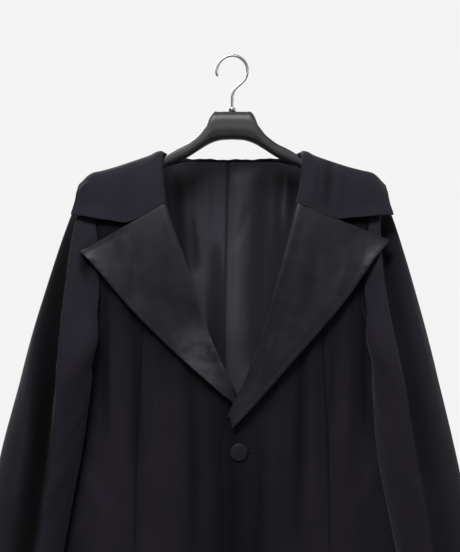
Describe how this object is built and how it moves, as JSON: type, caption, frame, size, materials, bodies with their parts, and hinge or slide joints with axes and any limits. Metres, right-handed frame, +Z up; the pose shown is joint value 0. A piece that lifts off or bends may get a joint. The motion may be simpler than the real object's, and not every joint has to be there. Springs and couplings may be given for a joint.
{
  "type": "long jacket on a coat hanger",
  "caption": "Long open-necked jacket with broad notched lapels and a wide flat collar, hanging on a broad plastic coat hanger with a wire hook.",
  "frame": {"origin": "inner top of the hanger's hook, where the rod carries it", "axes": "+Z up, front faces -Y, +X to the wearer's left"},
  "size_m": [0.6458, 0.1725, 0.934],
  "materials": {
    "shell": "matte",
    "satin": "satin",
    "lining": "satin",
    "hanger": "satin",
    "steel": "polished"
  },
  "bodies": {
    "root": {"front_left": "shell", "front_right": "shell", "back": "shell", "sleeve_left": "shell", "sleeve_right": "shell", "collar": "shell", "lapel_left": "satin", "lapel_right": "satin", "button": "satin", "lining_back_left": "lining", "lining_back_right": "lining", "hanger_body": "hanger", "hanger_hook": "steel"}
  },
  "joints": []
}
